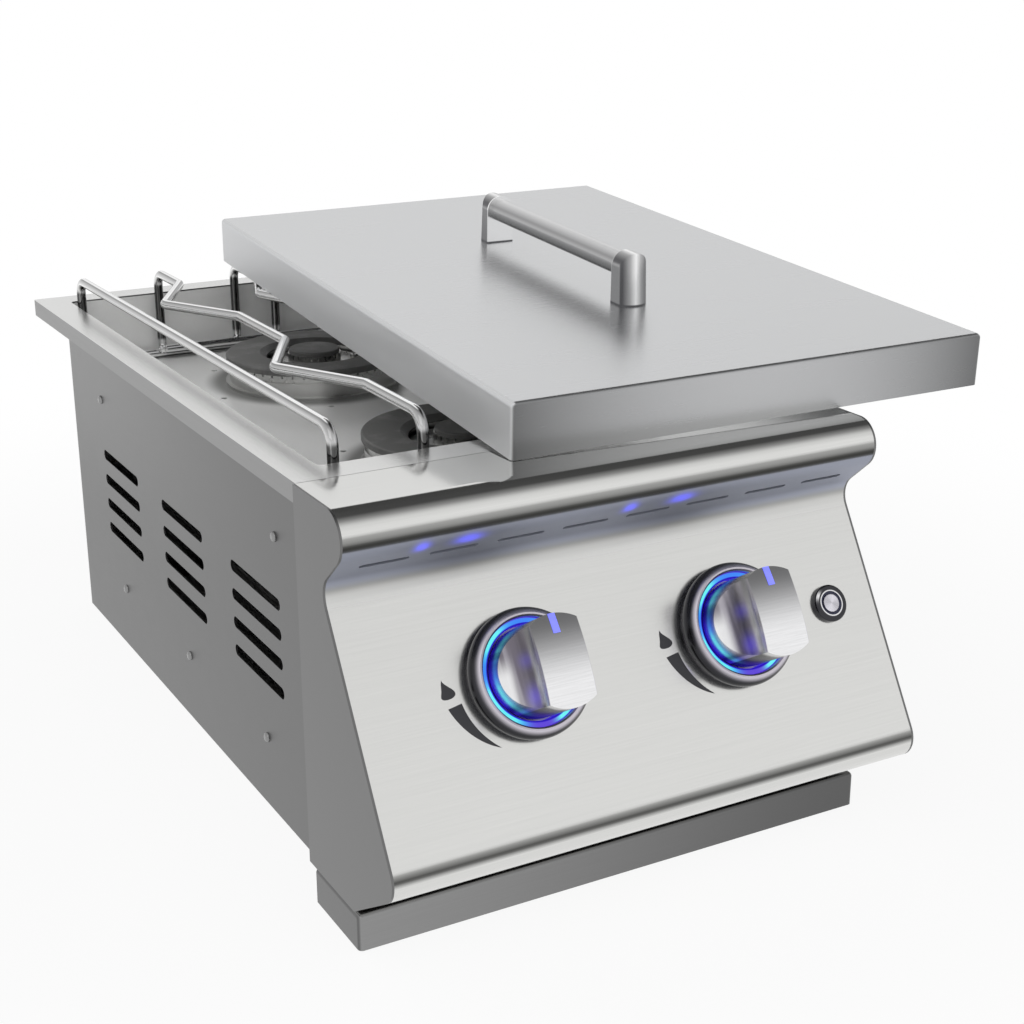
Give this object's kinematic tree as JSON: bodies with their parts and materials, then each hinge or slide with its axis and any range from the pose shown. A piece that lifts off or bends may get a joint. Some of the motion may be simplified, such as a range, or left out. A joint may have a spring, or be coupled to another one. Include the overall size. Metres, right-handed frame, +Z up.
{
  "type": "double side burner",
  "caption": "Built-in gas side burner: steel housing with a sunken pan, ring burners, a bent-rod grate, a loose lid, a slanted panel of lit knobs and a drip tray that slides out below.",
  "frame": {"origin": "centre of the housing's underside, on the floor panel", "axes": "+X to the right as seen from the knobs, +Y to the rear, +Z up"},
  "size_m": [0.4773, 0.6695, 0.348],
  "materials": {
    "brushed_steel": "brushed",
    "plain_steel": "plain",
    "polished_steel": "polished",
    "satin_metal": "satin",
    "black_enamel": "matt enamel",
    "brass": "machined",
    "light_ring": "lit from within",
    "pointer_mark": "gloss",
    "ceramic": "glazed ceramic",
    "black_plastic": "moulded",
    "lead_rubber": "silicone"
  },
  "bodies": {
    "housing": {"left_side_panel": "brushed_steel", "right_side_panel": "brushed_steel", "rear_panel": "brushed_steel", "top_frame": "brushed_steel", "control_panel": "brushed_steel", "left_end_cap": "brushed_steel", "right_end_cap": "brushed_steel", "floor_panel": "plain_steel", "firewall": "plain_steel", "pan_beams": "plain_steel", "left_tray_rail": "plain_steel", "right_tray_rail": "plain_steel", "gas_manifold": "plain_steel", "gas_supply_pipe": "plain_steel", "front_feed_tube": "plain_steel", "rear_feed_tube": "plain_steel", "front_burner_base": "plain_steel", "rear_burner_base": "plain_steel", "front_inner_head": "plain_steel", "rear_inner_head": "plain_steel", "front_outer_head": "plain_steel", "rear_outer_head": "plain_steel", "burner_pan": "polished_steel", "housing_screws": "polished_steel", "left_knob_bezel": "polished_steel", "right_knob_bezel": "polished_steel", "switch_body": "polished_steel", "front_outer_cap": "black_enamel", "rear_outer_cap": "black_enamel", "front_inner_cap": "black_enamel", "rear_inner_cap": "black_enamel", "gas_inlet_fitting": "brass", "left_valve_body": "brass", "right_valve_body": "brass", "left_orifice": "brass", "right_orifice": "brass", "left_led_ring": "light_ring", "right_led_ring": "light_ring", "switch_led_ring": "light_ring", "front_electrode": "ceramic", "rear_electrode": "ceramic", "ignition_module": "black_plastic", "ignition_leads": "lead_rubber"},
    "left_plug": {"left_valve_plug": "brass"},
    "right_plug": {"right_valve_plug": "brass"},
    "left_knob": {"left_knob": "satin_metal", "left_knob_pointer": "pointer_mark", "left_valve_stem": "plain_steel"},
    "right_knob": {"right_knob": "satin_metal", "right_knob_pointer": "pointer_mark", "right_valve_stem": "plain_steel"},
    "light_button": {"switch_button": "satin_metal"},
    "drip_tray": {"drip_tray_front": "brushed_steel", "drip_tray_pan": "plain_steel"},
    "grate": {"cooking_grate": "polished_steel"},
    "lid": {"lid_cover": "brushed_steel", "handle_bar": "brushed_steel", "front_handle_post": "polished_steel", "rear_handle_post": "polished_steel", "handle_screws": "polished_steel"}
  },
  "joints": [
    {"name": "left_knob_turn", "type": "hinge", "parent": "housing", "child": "left_plug", "pos_m": [-0.071, -0.33212, 0.14869], "axis": [0, -0.8587, 0.5124], "range_deg": [0, 150]},
    {"name": "left_knob_push", "type": "slide", "parent": "left_plug", "child": "left_knob", "axis": [0, 0.8587, -0.5124], "range_m": [0, 0.003], "stiffness_N_per_m": 1000, "springref_m": -0.006},
    {"name": "right_knob_turn", "type": "hinge", "parent": "housing", "child": "right_plug", "pos_m": [0.071, -0.33212, 0.14869], "axis": [0, -0.8587, 0.5124], "range_deg": [0, 150]},
    {"name": "right_knob_push", "type": "slide", "parent": "right_plug", "child": "right_knob", "axis": [0, 0.8587, -0.5124], "range_m": [0, 0.003], "stiffness_N_per_m": 1000, "springref_m": -0.006},
    {"name": "light_button_press", "type": "slide", "parent": "housing", "child": "light_button", "axis": [0, 0.8587, -0.5124], "range_m": [0, 0.002], "stiffness_N_per_m": 400, "springref_m": -0.003},
    {"name": "drip_tray_slide", "type": "slide", "parent": "housing", "child": "drip_tray", "axis": [0, -1, 0], "range_m": [0, 0.4]},
    {"name": "grate_lift", "type": "slide", "parent": "housing", "child": "grate", "axis": [0, 0, 1], "range_m": [0, 0.2]},
    {"name": "lid_lift", "type": "slide", "parent": "grate", "child": "lid", "axis": [0, 0, 1], "range_m": [0, 0.3]}
  ]
}
